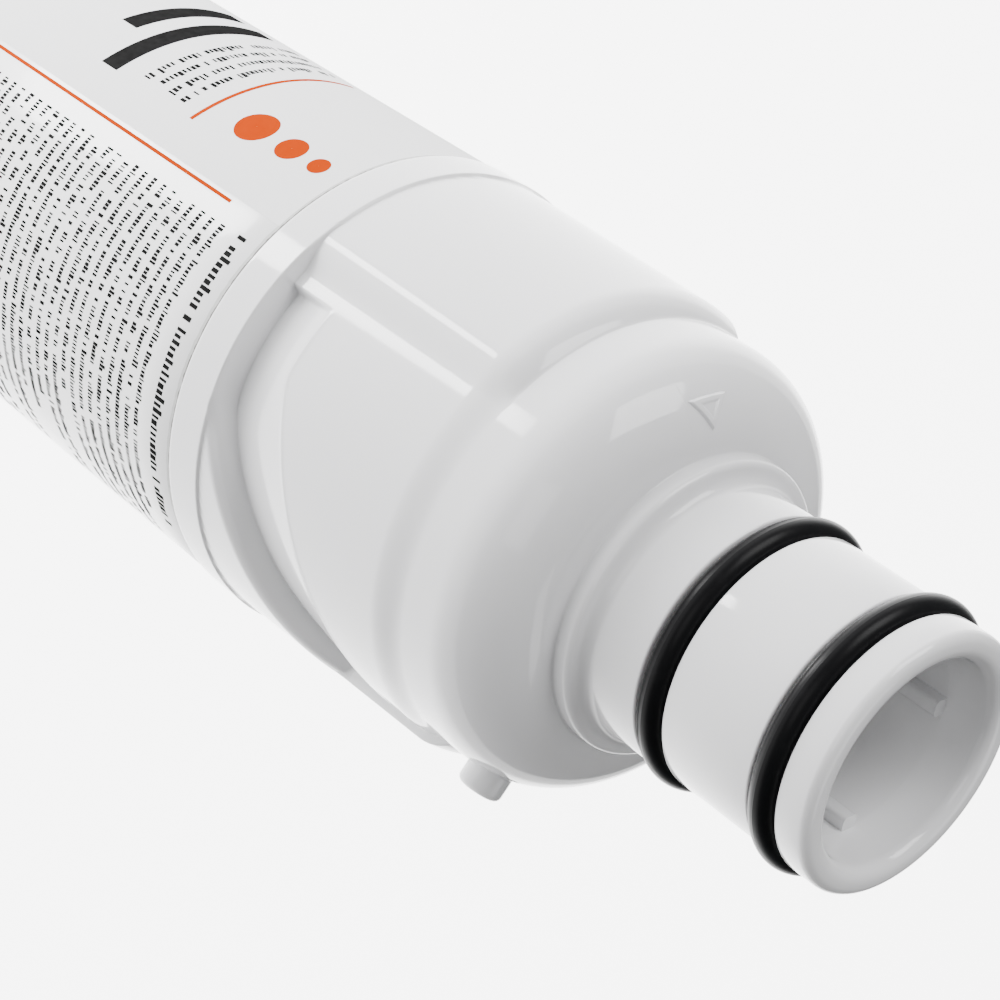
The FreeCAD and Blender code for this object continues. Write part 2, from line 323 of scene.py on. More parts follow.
class FilmSurface(Finish):
    """Gloss and wrinkles that the label's film and its inks share. Metres."""

    gloss: Grain = Grain(90.0, 3.0)
    gloss_edge: Pair = (0.3, 0.7)
    roughness: Pair = (0.12, 0.2)
    slow: Grain = Grain(55.0, 2.0, 1.4)
    fine: Grain = Grain(260.0, 2.0, 0.25)
    bump_strength: float = 0.3
    bump_depth: float = 0.0001

    def surface(self, nodes: ShaderNodes, place: Socket) -> Inputs:
        """Uneven gloss and slight wrinkles.

        Args:
            nodes: The material's nodes.
            place: Object coordinates.

        Returns:
            The shader's inputs for them by name.
        """
        wrinkles = nodes.math("ADD", nodes.relief(place, self.slow), nodes.relief(place, self.fine))
        return {
            "Roughness": nodes.step(nodes.noise(place, self.gloss), *self.gloss_edge, self.roughness),
            "Normal": nodes.bump(self.bump_strength, self.bump_depth, wrinkles),
        }


@dataclass(frozen=True)
class FilmFinish(FilmSurface):
    """Clear-coated white label film with a clear margin and a dusty cut edge. Metres."""

    name: str
    colour: Colour = (0.80, 0.80, 0.805, 1.0)
    margin_colour: Colour = (0.56, 0.56, 0.55, 1.0)
    dust_colour: Colour = (0.10, 0.095, 0.085, 1.0)
    edge_height: float = 0.14684
    margin_edge: Pair = (0.00064, 0.0008)
    margin_share: float = 0.85
    dust_edge: Pair = (0.00011, 0.000308)
    dust_share: float = 0.9
    ragged: Grain = Grain(900.0, 4.0, 0.0005)
    specular: float = 0.3
    coat: float = 0.12
    coat_roughness: float = 0.06

    def inputs(self, nodes: ShaderNodes, place: Socket) -> Inputs:
        """Glossy film with a clear margin whose cut edge has gathered dust.

        Args:
            nodes: The material's nodes.
            place: Object coordinates.

        Returns:
            The shader's inputs by name.
        """
        below = nodes.math("SUBTRACT", self.edge_height, nodes.axes(place)[2])
        centred = nodes.math("SUBTRACT", nodes.noise(place, self.ragged), 0.5)
        uneven = nodes.math("ADD", below, nodes.math("MULTIPLY", centred, self.ragged.height))
        margin = nodes.step(uneven, *self.margin_edge, (self.margin_share, 0.0))
        dust = nodes.step(uneven, *self.dust_edge, (self.dust_share, 0.0))
        clear = nodes.mix(margin, self.colour, self.margin_colour)
        return {
            "Base Color": nodes.mix(dust, clear, self.dust_colour),
            "Specular IOR Level": self.specular,
            "Coat Weight": self.coat,
            "Coat Roughness": self.coat_roughness,
            **self.surface(nodes, place),
        }


@dataclass(frozen=True)
class InkFinish(FilmSurface):
    """Flat ink under the film's gloss, a little uneven in density."""

    name: str
    colour: Colour
    thin: Colour
    mottle: Grain = Grain(900.0, 4.0)
    specular: float = 0.0

    def inputs(self, nodes: ShaderNodes, place: Socket) -> Inputs:
        """Mottled ink with the film's gloss and wrinkles.

        Args:
            nodes: The material's nodes.
            place: Object coordinates.

        Returns:
            The shader's inputs by name.
        """
        return {
            "Base Color": nodes.mix(nodes.noise(place, self.mottle), self.colour, self.thin),
            "Specular IOR Level": self.specular,
            **self.surface(nodes, place),
        }


@dataclass(frozen=True)
class GrainFinish(Finish):
    """Matt two-tone material with a grain, for the pieces of the filter element. Metres."""

    name: str
    colour: Colour
    second: Colour
    roughness: float
    grain: Grain
    bump_depth: float
    bump_strength: float = 0.5

    def inputs(self, nodes: ShaderNodes, place: Socket) -> Inputs:
        """Grain in the colour with a matching bump.

        Args:
            nodes: The material's nodes.
            place: Object coordinates.

        Returns:
            The shader's inputs by name.
        """
        grain = nodes.noise(place, self.grain)
        return {
            "Base Color": nodes.mix(grain, self.colour, self.second),
            "Roughness": self.roughness,
            "Normal": nodes.bump(self.bump_strength, self.bump_depth, grain),
        }


def smooth(value: np.ndarray, low: float, high: float) -> np.ndarray:
    """Smooth step from 0 at low to 1 at high."""
    t = np.clip((value - low) / (high - low), 0.0, 1.0)
    return t * t * (3.0 - 2.0 * t)


def wrapped(angle: np.ndarray) -> np.ndarray:
    """Angles in degrees brought between -180 and 180."""
    return (angle + 180.0) % 360.0 - 180.0


def spread(values: np.ndarray, columns: int) -> np.ndarray:
    """Repeats each value along a row of a number of columns."""
    return np.repeat(values[:, None], columns, axis=1)


def quantiles(
    start: float, end: float, count: int, density: Callable[[np.ndarray], np.ndarray], samples: int = 1500
) -> np.ndarray:
    """Spaces points by a density.

    Args:
        start: First point.
        end: Last point.
        count: How many points.
        density: Relative number of points per unit of length.
        samples: Places where the density is read.

    Returns:
        The points in rising order.
    """
    fine = np.linspace(start, end, samples)
    weight = density(fine)
    total = np.concatenate([[0.0], np.cumsum((weight[1:] + weight[:-1]) / 2)])
    return np.interp(np.linspace(0.0, total[-1], count), total, fine)


def rounded(corners: Sequence[Triple], steps: int = 5) -> np.ndarray:
    """Rounds the corners of an outline.

    Args:
        corners: Radius, height and rounding of each corner, in order.
        steps: Points along each rounding.

    Returns:
        Points of the rounded outline, one row each.
    """
    points = [np.array(c[:2]) for c in corners]
    made = [points[0]]
    for k in range(1, len(points) - 1):
        fillet = corners[k][2]
        if fillet > 0.0:
            made.extend(corner_points(points[k - 1], points[k], points[k + 1], fillet, steps))
        else:
            made.append(points[k])
    made.append(points[-1])
    return np.array(made)


def corner_points(
    before: np.ndarray, corner: np.ndarray, after: np.ndarray, fillet: float, steps: int
) -> list[np.ndarray]:
    """Points of one rounded corner.

    Args:
        before: Point before the corner.
        corner: The corner.
        after: Point after the corner.
        fillet: Radius of the rounding.
        steps: Points along it.

    Returns:
        The points, in order.
    """
    back = (before - corner) / np.linalg.norm(before - corner)
    on = (after - corner) / np.linalg.norm(after - corner)
    half = math.acos(float(np.clip(back @ on, -1.0, 1.0))) / 2
    reach = fillet / math.tan(half)
    bisector = (back + on) / np.linalg.norm(back + on)
    centre = corner + bisector * fillet / math.sin(half)
    first, last = corner + back * reach - centre, corner + on * reach - centre
    span = math.acos(float(np.clip(first @ last / fillet**2, -1.0, 1.0)))
    made = []
    for t in np.linspace(0.0, 1.0, steps):
        arm = math.sin((1 - t) * span) * first + math.sin(t * span) * last
        made.append(centre + arm / math.sin(span))
    return made


def turned_points(radius: np.ndarray, angle: np.ndarray, height: np.ndarray) -> np.ndarray:
    """Points in millimetres from radius, angle in degrees and height."""
    a = np.radians(angle)
    return np.stack(np.broadcast_arrays(radius * np.cos(a), radius * np.sin(a), height), axis=-1)


def grid_faces(rows: int, columns: int, close_rows: bool, close_columns: bool, start: int = 0) -> list[tuple]:
    """Quads of a grid of points.

    Args:
        rows: Rows of points.
        columns: Points in a row.
        close_rows: Whether the last row joins the first.
        close_columns: Whether each row is a ring.
        start: Index of the grid's first point.

    Returns:
        The quads' indices.
    """
    made = []
    for k in range(rows if close_rows else rows - 1):
        low, high = start + k * columns, start + (k + 1) % rows * columns
        for j in range(columns if close_columns else columns - 1):
            n = (j + 1) % columns
            made.append((low + j, low + n, high + n, high + j))
    return made


@dataclass
class MeshParts:
    """Collects points in millimetres and faces for one mesh."""

    points: list[np.ndarray] = field(default_factory=list)
    faces: list[tuple] = field(default_factory=list)
    count: int = 0

    def grid(self, points: np.ndarray, close_rows: bool = False, close_columns: bool = False) -> None:
        """Adds a grid of points with its quads.

        Args:
            points: The points, rows first.
            close_rows: Whether the last row joins the first.
            close_columns: Whether each row is a ring.
        """
        rows, columns = points.shape[:2]
        self.faces.extend(grid_faces(rows, columns, close_rows, close_columns, self.count))
        self.points.append(points.reshape(-1, 3))
        self.count += rows * columns

    def build(self, name: str, material: bpy.types.Material, slot: Slot) -> bpy.types.Object:
        """Makes the object.

        Args:
            name: The piece's name.
            material: Its material.
            slot: The record's slot.

        Returns:
            The object, riding on the body.
        """
        mesh = bpy.data.meshes.new(name)
        mesh.from_pydata((np.concatenate(self.points) * MM).tolist(), [], self.faces)
        mesh.shade_smooth()
        mesh.materials.append(material)
        mesh.update()
        made = bpy.data.objects.new(name, mesh)
        bpy.context.scene.collection.objects.link(made)
        return settle(made, slot)


def settle(piece: bpy.types.Object, slot: Slot) -> bpy.types.Object:
    """Lets a piece ride on the body and reports it.

    Args:
        piece: The piece.
        slot: The record's slot; not used.

    Returns:
        The same piece.
    """
    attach(piece, BODY)
    LOG.info("%s: %d faces", piece.name, len(piece.data.polygons))
    return piece


class NodeTree(TreeBuilder):
    """Builds one Geometry Nodes tree and turns its result into a plain mesh."""

    def __init__(self, name: str) -> None:
        """Makes an empty tree with a geometry output.

        Args:
            name: The tree's name.
        """
        super().__init__(bpy.data.node_groups.new(name, "GeometryNodeTree"))
        self.tree.interface.new_socket("Geometry", in_out="OUTPUT", socket_type="NodeSocketGeometry")
        self.group = self.tree.nodes.new("NodeGroupInput")
        self.sizes: dict[str, object] = {}

    def size(self, name: str, kind: str, value: object) -> Socket:
        """Adds a named input.

        Args:
            name: The input's name.
            kind: Float, Int or Material.
            value: Its value on this object.

        Returns:
            The socket inside the tree.
        """
        made = self.tree.interface.new_socket(name, in_out="INPUT", socket_type=f"NodeSocket{kind}")
        self.sizes[made.identifier] = value
        return next(s for s in self.group.outputs if s.identifier == made.identifier)

    def random(self, span: Pair, item: Socket, seed: Socket, draw: Draw) -> Socket:
        """Adds one draw of a random value for each item and returns it."""
        inputs = {2: span[0], 3: span[1], "ID": item, "Seed": self.math("ADD", seed, draw.value)}
        return self.add("FunctionNodeRandomValue", inputs, data_type="FLOAT").outputs[1]

    def around(self, radius: Socket, turn: Socket, height: Socket) -> Socket:
        """Adds the place at a radius, angle and height round the axis and returns it."""
        x, y = (self.math("MULTIPLY", radius, self.math(part, turn)) for part in ("COSINE", "SINE"))
        return self.vector(X=x, Y=y, Z=height)

    def realize(self, instances: Socket) -> Socket:
        """Turns instances into a mesh inside the tree."""
        return self.add("GeometryNodeRealizeInstances", {"Geometry": instances}).outputs[0]

    def close(self, geometry: Socket, material: Socket) -> None:
        """Sets the material and joins the tree's output."""
        dressed = self.add("GeometryNodeSetMaterial", {"Geometry": geometry, "Material": material})
        self.add("NodeGroupOutput", {0: dressed.outputs[0]})

    def piece(self, name: str, slot: Slot) -> None:
        """Evaluates the tree into a plain mesh that rides on the body.

        Args:
            name: The piece's name.
            slot: The record's slot.
        """
        carrier = bpy.data.objects.new(name + ".carrier", bpy.data.meshes.new(name + ".carrier"))
        bpy.context.scene.collection.objects.link(carrier)
        modifier = carrier.modifiers.new("nodes", "NODES")
        modifier.node_group = self.tree
        for identifier, value in self.sizes.items():
            modifier[identifier] = value
        graph = bpy.context.evaluated_depsgraph_get()
        mesh = bpy.data.meshes.new_from_object(carrier.evaluated_get(graph))
        bpy.data.objects.remove(carrier)
        mesh.name = name
        made = bpy.data.objects.new(name, mesh)
        bpy.context.scene.collection.objects.link(made)
        settle(made, slot)


@dataclass
class Housing:
    """Canister, head and spigot: one moulding with soft edges. Sizes in millimetres and degrees."""

    finish: PlasticFinish

    # Canister and band
    body_radius: float = 32.8
    body_inner: float = 29.8
    seam: float = 10.0
    seam_round: float = 0.3
    label_top: float = 147.0
    band_radius: float = 33.3
    band_foot: float = 0.6
    band_foot_round: float = 0.25
    band_top: float = 153.2
    band_round: float = 0.35

    # Head and dome
    head_radius: float = 32.95
    shoulder_radius: float = 32.45
    recess_radius: float = 31.2
    tier_radius: float = 30.4
    shoulder_top: float = 191.0
    shoulder_round: float = 7.0
    dome_top: float = 206.0
    dome_round: float = 10.0

    # Collar, spigot and inside
    collar_radius: float = 20.0
    collar_top: float = 208.5
    collar_foot_round: float = 0.25
    collar_round: float = 0.8
    neck_radius: float = 17.3
    neck_round: float = 1.6
    spigot_radius: float = 17.0
    groove_floor: float = 14.7
    grooves: tuple[Pair, Pair] = ((217.0, 221.2), (235.0, 239.2))
    groove_round: float = 0.3
    rim: float = 244.0
    rim_round: float = 1.2
    bore_radius: float = 12.8
    bore_round: float = 3.0
    mouth_radius: float = 13.4
    mouth_round: float = 1.6
    mouth_step: float = 0.01
    mouth_foot: float = 237.4
    ceiling: float = 203.0
    ceiling_round: float = 0.5
    inner_radius: float = 26.6
    inner_round: float = 6.2
    inner_taper: float = 6.4

    # Bayonet recesses and their cam grooves
    recess_pitch: float = 180.0
    recess_sweep: float = 105.0
    recess_blend: float = 5.0
    step_angle: float = 251.0
    step_margin: float = 30.0
    step_lead: float = 4.6
    step_tail: float = 2.1
    ramp_power: float = 1.5
    side_blend: float = 0.25
    groove_start: float = 7.5
    start_blend: float = 0.35
    kink: float = 39.0
    kink_round: float = 3.0
    kink_blend: Pair = (3.0, 8.0)
    climb: float = 101.0 / 360.0
    climb_round: float = 1.2
    wall_round: float = 0.6
    wall_foot: float = 0.12
    wall_power: int = 3
    groove_width: float = 8.2
    climb_width: float = 12.0
    groove_depth: float = 1.8
    run_out_sharpness: float = 4.0
    ridge_height: float = 0.05
    ridge_width: float = 0.28

    # Key peg on its spot face
    peg_height: float = 196.5
    peg_radius: float = 3.0
    peg_tip: float = 33.2
    peg_tip_round: float = 0.9
    peg_foot_round: float = 0.45
    peg_skirt: Pair = (0.9, 0.5)
    peg_sunk: float = 0.15
    pad_radius: float = 5.0
    pad_depth: float = 0.8
    pad_blend: float = 0.2
    pad_reach: float = 0.5

    # Raised arrow
    arrow_angle: float = 214.5
    arrow_radius: float = 25.2
    arrow_length: float = 4.4
    arrow_width: float = 6.0
    arrow_relief: float = 0.38
    arrow_flank: float = 0.35
    arrow_sunk: float = 0.14
    arrow_sunk_edge: Pair = (0.75, 1.05)
    arrow_seat: float = 0.03

    # Guide ribs in the bore
    rib_count: int = 4
    rib_angle: float = 35.0
    rib_sunk: float = 0.6
    rib_depth: float = 2.4
    rib_thickness: float = 2.2
    rib_round: float = 0.5
    rib_round_steps: int = 4
    rib_drop: float = 6.5

    # Mesh: counts, then reach and extra density of the closer zones
    columns: int = 380
    rows_below: int = 30
    rows_above: int = 54
    rows_shoulder: int = 16
    rows_tier: int = 12
    rows_dome: int = 25
    peg_columns: int = 56
    peg_steps: int = 6
    arrow_cells: int = 52
    tier_gap: float = 0.25
    row_gap: float = 0.7
    wall_gap: float = 0.62
    shoulder_gap: float = 0.05
    return_gap: float = 2.0
    return_end: float = 176.0
    plain_rows: float = 0.9
    edge_rows: float = 6.0
    edge_zone: Pair = (2.1, 0.1)
    wall_zone: Pair = (0.5, 14.0)
    wall_zone_drop: float = 0.2
    run_out_zone: Pair = (0.7, 4.0)
    step_zone: Pair = (6.5, 2.2)
    step_zone_lead: float = 2.0
    start_zone: Pair = (1.4, 3.0)
    side_zone: Pair = (1.0, 3.0)
    peg_zone: Pair = (11.0, 1.6)

    def shoulder_foot(self, at_shoulder: float) -> float:
        """Height where the shoulder's rounding starts on a side of a given radius."""
        drop = at_shoulder - self.tier_radius
        return self.shoulder_top - math.sqrt(drop * (2 * self.shoulder_round - drop))

    def side(self, z: np.ndarray, at_band: float, at_shoulder: float) -> np.ndarray:
        """Radius of the head's side, with the shoulder's rounding.

        Args:
            z: Heights.
            at_band: Radius just above the band.
            at_shoulder: Radius just below the shoulder's rounding.

        Returns:
            The radii.
        """
        corner = self.shoulder_foot(at_shoulder)
        share = np.clip((z - self.band_top) / (corner - self.band_top), 0.0, 1.0)
        slope = at_band + (at_shoulder - at_band) * share
        over = np.clip(z - corner, 0.0, self.shoulder_top - corner)
        return slope - self.shoulder_round + np.sqrt(self.shoulder_round**2 - over**2)

    def band(self, z: np.ndarray) -> np.ndarray:
        """Radius of the band with its rounded upper edge."""
        up = np.clip(z - (self.band_top - self.band_round), 0.0, self.band_round)
        return self.band_radius - self.band_round + np.sqrt(np.maximum(self.band_round**2 - up**2, 0.0))

    def past_step(self, angle: np.ndarray) -> np.ndarray:
        """Angles past a recess's axial step, negative shortly before it."""
        return (angle - self.step_angle + self.step_margin) % self.recess_pitch - self.step_margin

    def wall(self, past: np.ndarray) -> tuple[np.ndarray, np.ndarray]:
        """Height of the cam wall and the cosine of its lean.

        Args:
            past: Angles past the recess's axial step.

        Returns:
            Heights and cosines.
        """
        from_kink = past - self.kink
        reach = np.sqrt(from_kink**2 + self.kink_round**2)
        height = self.band_top + self.climb * (from_kink + reach) / 2
        slope = self.climb * (1 + from_kink / reach) / 2 / math.radians(self.recess_radius)
        return height, 1 / np.sqrt(1 + slope**2)

    def run_out(self, past: np.ndarray) -> np.ndarray:
        """Height where the groove's floor runs out.

        Args:
            past: Angles past the recess's axial step.

        Returns:
            The heights.
        """
        level = self.band_top + self.groove_width
        climbing = self.band_top + self.climb_width + self.climb * (past - self.kink)
        sharp = self.run_out_sharpness
        return np.logaddexp(level * sharp, climbing * sharp) / sharp

    def head(self, angle: np.ndarray, z: np.ndarray) -> np.ndarray:
        """Radius of the head with its two bayonet recesses.

        Args:
            angle: Angles in degrees.
            z: Heights.

        Returns:
            The radii.
        """
        side = self.side(z, self.head_radius, self.shoulder_radius)
        full = np.where(z <= self.band_top, self.band(z), side)
        blend = smooth(z, self.shoulder_top - self.recess_blend, self.shoulder_top)
        low = self.recess_radius - (self.recess_radius - self.tier_radius) * blend
        arc = math.radians(self.recess_radius)
        past = self.past_step(angle)
        height, lean = self.wall(past)
        ramp = np.clip((past * arc + self.step_lead) / (self.step_lead + self.step_tail), 0.0, 1.0)
        lowered = smooth(ramp**self.ramp_power, 0.0, 1.0)
        before, after = self.kink_blend
        soft = self.wall_round + self.climb_round * smooth(past, self.kink - before, self.kink + after)
        off = (z - height) * lean
        over_wall = np.clip((off + soft) / (soft + self.wall_foot), 0.0, 1.0) ** self.wall_power
        inside = over_wall * smooth((self.recess_sweep - past) * arc, -self.side_blend, self.side_blend)
        start = smooth((past - self.groove_start) * arc, -self.start_blend, self.start_blend)
        out = self.run_out(past)
        wedge = np.clip((out - z) / (out - height), 0.0, 1.0)
        ridge = self.ridge_height * np.exp(-(((z - out) * lean / self.ridge_width) ** 2))
        groove = start * inside * (self.groove_depth * wedge - ridge)
        return full - lowered * inside * (full - low) - groove

    def follow(self, angle: float) -> float:
        """Height that the mesh's rows follow: up the cam wall, then back down to the band.

        Args:
            angle: Angle of the column.

        Returns:
            The height.
        """
        past = np.array((angle - self.step_angle) % self.recess_pitch)
        climbed = float(self.wall(past)[0])
        back = float(smooth(past, self.recess_sweep + self.return_gap, self.return_end))
        return climbed + (self.band_top - climbed) * back

    def band_density(self, z: np.ndarray) -> np.ndarray:
        """Density of the rows below the cam wall, higher at the band's upper edge."""
        at_edge = (z > self.band_top - self.edge_zone[0]) & (z < self.band_top + self.edge_zone[1])
        return np.where(at_edge, self.edge_rows, self.plain_rows)

    def wall_density(self, z: np.ndarray, foot: float, out: float) -> np.ndarray:
        """Density of the rows above the cam wall's foot.

        Args:
            z: Heights.
            foot: Height of the cam wall.
            out: Height where the groove's floor runs out.

        Returns:
            The density, higher at both.
        """
        reach, more = self.wall_zone
        density = self.plain_rows + more * (np.abs(z - foot + self.wall_zone_drop) < reach)
        reach, more = self.run_out_zone
        return density + more * (np.abs(z - out) < reach)

    def head_rows(self, angles: np.ndarray) -> np.ndarray:
        """Heights of the head's rows, which keep to the cam wall.

        Args:
            angles: Angles of the columns.

        Returns:
            Heights, rows first.
        """
        first = self.label_top + self.row_gap
        last = self.shoulder_foot(self.shoulder_radius) - self.shoulder_gap
        made = []
        for angle in angles:
            foot = self.follow(float(angle))
            out = float(self.run_out(np.array((float(angle) - self.step_angle) % self.recess_pitch)))
            below = quantiles(first, foot - self.row_gap, self.rows_below, self.band_density)
            above = quantiles(
                foot - self.wall_gap, last, self.rows_above, lambda z: self.wall_density(z, foot, out)
            )
            made.append(np.concatenate([below, above]))
        return np.array(made).T

    def pad(self, radius: np.ndarray, angle: np.ndarray, z: np.ndarray) -> np.ndarray:
        """Cuts the peg's flat spot face into the head.

        Args:
            radius: Radii before it.
            angle: Angles in degrees.
            z: Heights.

        Returns:
            Radii after it.
        """
        a = np.radians(wrapped(angle))
        near = np.abs(a) < self.pad_reach
        flat = (self.tier_radius - self.pad_depth) / np.where(near, np.cos(a), 1.0)
        reach = np.hypot(radius * np.sin(a), z - self.peg_height)
        cut = smooth(reach, self.pad_radius + self.pad_blend, self.pad_radius - self.pad_blend)
        return radius - np.where(near, cut, 0.0) * np.maximum(radius - flat, 0.0)

    def column_density(self, angle: np.ndarray) -> np.ndarray:
        """Density of the mesh's columns, higher at the recesses' edges and at the peg.

        Args:
            angle: Angles in degrees.

        Returns:
            The density.
        """
        past = self.past_step(angle)
        zones = (
            (past + self.step_zone_lead, self.step_zone),
            (past - self.groove_start, self.start_zone),
            (past - self.recess_sweep, self.side_zone),
            (wrapped(angle), self.peg_zone),
        )
        density = np.ones_like(angle)
        for off, (reach, more) in zones:
            density = density + more * (np.abs(off) < reach)
        return density

    def spigot(self) -> np.ndarray:
        """Outline from the dome's top over the spigot, through the bore, down inside and up the canister.

        Returns:
            Radius and height of its points, one row each.
        """
        out, floor = self.spigot_radius, self.groove_floor
        corners = [
            (self.tier_radius - self.dome_round, self.dome_top, 0.0),
            (self.collar_radius, self.dome_top, self.collar_foot_round),
            (self.collar_radius, self.collar_top, self.collar_round),
            (self.neck_radius, self.collar_top, self.neck_round),
        ]
        for (low, high), before in zip(self.grooves, (self.neck_radius, out)):
            groove = ((before, low), (floor, low), (floor, high), (out, high))
            corners.extend((radius, height, self.groove_round) for radius, height in groove)
        corners += [
            (out, self.rim, self.rim_round),
            (self.mouth_radius, self.rim, self.mouth_round),
            (self.mouth_radius, self.rim - self.mouth_round - self.mouth_step, 0.0),
            (self.bore_radius, self.mouth_foot, self.bore_round),
            (self.bore_radius, self.ceiling, self.ceiling_round),
            (self.inner_radius, self.ceiling, self.inner_round),
            (self.inner_radius, self.label_top, 0.0),
            (self.body_inner, self.label_top - self.inner_taper, 0.0),
            (self.body_inner, self.seam, 0.0),
            (self.body_radius, self.seam, self.seam_round),
            (self.body_radius, self.label_top, 0.0),
            (self.band_radius, self.label_top, self.band_foot_round),
            (self.band_radius, self.label_top + self.band_foot, 0.0),
        ]
        return rounded(corners)

    def upper(self) -> tuple[np.ndarray, np.ndarray]:
        """Outline of the tier above the shoulder and of the dome's rounding.

        Returns:
            Radii and heights of its points.
        """
        foot = self.dome_top - self.dome_round
        tier = np.linspace(self.shoulder_top + self.tier_gap, foot, self.rows_tier)
        arc = np.radians(np.linspace(0.0, 90.0, self.rows_dome)[1:-1])
        dome = self.tier_radius - self.dome_round + self.dome_round * np.cos(arc)
        radius = np.concatenate([np.full_like(tier, self.tier_radius), dome])
        return radius, np.concatenate([tier, foot + self.dome_round * np.sin(arc)])

    def shell(self, parts: MeshParts) -> None:
        """Adds the whole turned shell with its recesses and spot face.

        Args:
            parts: Where it goes.
        """
        angles = quantiles(0.0, 360.0, self.columns + 1, self.column_density)[:-1]
        head = self.head_rows(angles)
        rise = np.linspace(self.shoulder_foot(self.shoulder_radius), self.shoulder_top, self.rows_shoulder)
        shoulder = spread(rise, self.columns)
        upper_r, upper_z = (spread(values, self.columns) for values in self.upper())
        rest_r, rest_z = (spread(values, self.columns) for values in self.spigot().T)
        radius = np.concatenate([
            self.head(angles, head), self.head(angles, shoulder), self.pad(upper_r, angles, upper_z), rest_r,
        ])
        height = np.concatenate([head, shoulder, upper_z, rest_z])
        parts.grid(turned_points(radius, angles, height), close_rows=True, close_columns=True)

    def peg(self, parts: MeshParts) -> None:
        """Adds the round key peg on its spot face.

        Args:
            parts: Where it goes.
        """
        flat = self.tier_radius - self.pad_depth
        wide, narrow = self.peg_skirt
        corners = [
            (self.peg_radius + wide, flat - self.peg_sunk, 0.0),
            (self.peg_radius + narrow, flat, 0.0),
            (self.peg_radius, flat, self.peg_foot_round),
            (self.peg_radius, self.peg_tip, self.peg_tip_round),
            (PINHOLE, self.peg_tip, 0.0),
        ]
        outline = rounded(corners, self.peg_steps)
        turn = np.linspace(0.0, 2 * np.pi, self.peg_columns, endpoint=False)[None, :]
        out, along = outline[:, :1], outline[:, 1:]
        axes = np.broadcast_arrays(along, out * np.cos(turn), self.peg_height + out * np.sin(turn))
        parts.grid(np.stack(axes, axis=-1), close_columns=True)

    def arrow(self, parts: MeshParts) -> None:
        """Adds the raised triangle with a sunk middle that points at the spigot.

        Args:
            parts: Where it goes.
        """
        across = np.linspace(-1.0, 1.0, self.arrow_cells + 1)[None, :]
        along = np.linspace(-0.5, 0.5, self.arrow_cells)[:, None]
        half = self.arrow_width / 2 * (0.5 - along)
        side = across * half
        slant = math.hypot(self.arrow_length, self.arrow_width / 2) / self.arrow_length
        edge = np.minimum((half - np.abs(side)) / slant, (along + 0.5) * self.arrow_length)
        sunk = self.arrow_sunk * smooth(edge, *self.arrow_sunk_edge)
        relief = self.arrow_relief * smooth(edge, 0.0, self.arrow_flank) - sunk - self.arrow_seat
        lean = math.acos((self.arrow_radius - self.tier_radius + self.dome_round) / self.dome_round)
        turn = lean + along * self.arrow_length / self.dome_round
        reach = self.dome_round + relief
        radius = self.tier_radius - self.dome_round + reach * np.cos(turn)
        height = self.dome_top - self.dome_round + reach * np.sin(turn)
        angle = self.arrow_angle + np.degrees(side / self.arrow_radius)
        parts.grid(turned_points(radius, angle, height))

    def ribs(self) -> None:
        """Builds the guide ribs round the bore by a node tree."""
        tree = NodeTree("bore_ribs")
        count = tree.size("Count", "Int", self.rib_count)
        middle = tree.size("Middle Radius", "Float", (self.bore_radius - self.rib_sunk) * MM)
        depth = tree.size("Depth", "Float", self.rib_depth * MM)
        thickness = tree.size("Thickness", "Float", self.rib_thickness * MM)
        bottom = tree.size("Bottom", "Float", self.collar_top * MM)
        length = tree.size("Length", "Float", (self.rim - self.rib_drop - self.collar_top) * MM)
        first = tree.size("First Angle", "Float", math.radians(self.rib_angle))
        material = tree.size("Material", "Material", self.finish.material())
        bar = tree.add("GeometryNodeCurvePrimitiveQuadrilateral", {"Width": depth, "Height": thickness})
        rounding = {"Curve": bar.outputs[0], "Radius": self.rib_round * MM, "Count": self.rib_round_steps}
        soft = tree.add("GeometryNodeFilletCurve", rounding, mode="POLY")
        face = tree.add("GeometryNodeFillCurve", {"Curve": soft.outputs[0]})
        rise = {"Mesh": face.outputs[0], "Offset": tree.vector(Z=length), "Offset Scale": 1.0}
        solid = tree.add("GeometryNodeExtrudeMesh", rise)
        index = tree.add("GeometryNodeInputIndex").outputs[0]
        share = tree.math("DIVIDE", tree.math("MULTIPLY", index, 2 * math.pi), count)
        turn = tree.math("ADD", share, first)
        place = tree.around(middle, turn, bottom)
        points = tree.add("GeometryNodePoints", {"Count": count, "Position": place})
        ribs = tree.add("GeometryNodeInstanceOnPoints", {
            "Points": points.outputs[0], "Instance": solid.outputs[0], "Rotation": tree.vector(Z=turn),
        })
        tree.close(tree.realize(ribs.outputs[0]), material)
        tree.piece("bore_ribs", Slot.HOUSING)

    def build(self) -> None:
        """Builds the moulding in place of its solid, and its ribs."""
        parts = MeshParts()
        self.shell(parts)
        self.peg(parts)
        self.arrow(parts)
        made = parts.build("housing_moulding", self.finish.material(), Slot.HOUSING)
        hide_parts("housing")
        self.ribs()


@dataclass(frozen=True)
class Field:
    """Plain field of ink. Millimetres and degrees."""

    ink: Ink
    angles: Pair
    heights: Pair


@dataclass(frozen=True)
class Dot:
    """Plain dot of ink. Millimetres and degrees."""

    ink: Ink
    angle: float
    height: float
    radius: float


@dataclass(frozen=True)
class SmallPrint:
    """Block of rows of ticks that stand for fine print. Millimetres and degrees."""

    name: str
    start: float
    width: float
    top: float
    rows: int
    bar: float
    seed: int

    # Shares of a tick's height
    cell: float = 0.5
    pitch: float = 2.05
    least_height: float = 0.72
    more_height: float = 0.5
    height_power: float = 3.0

    # Shares of a cell and of a row, and of ticks left out
    tick_width: Pair = (0.38, 0.88)
    row_end: Pair = (0.55, 2.2)
    left_out: float = 0.15


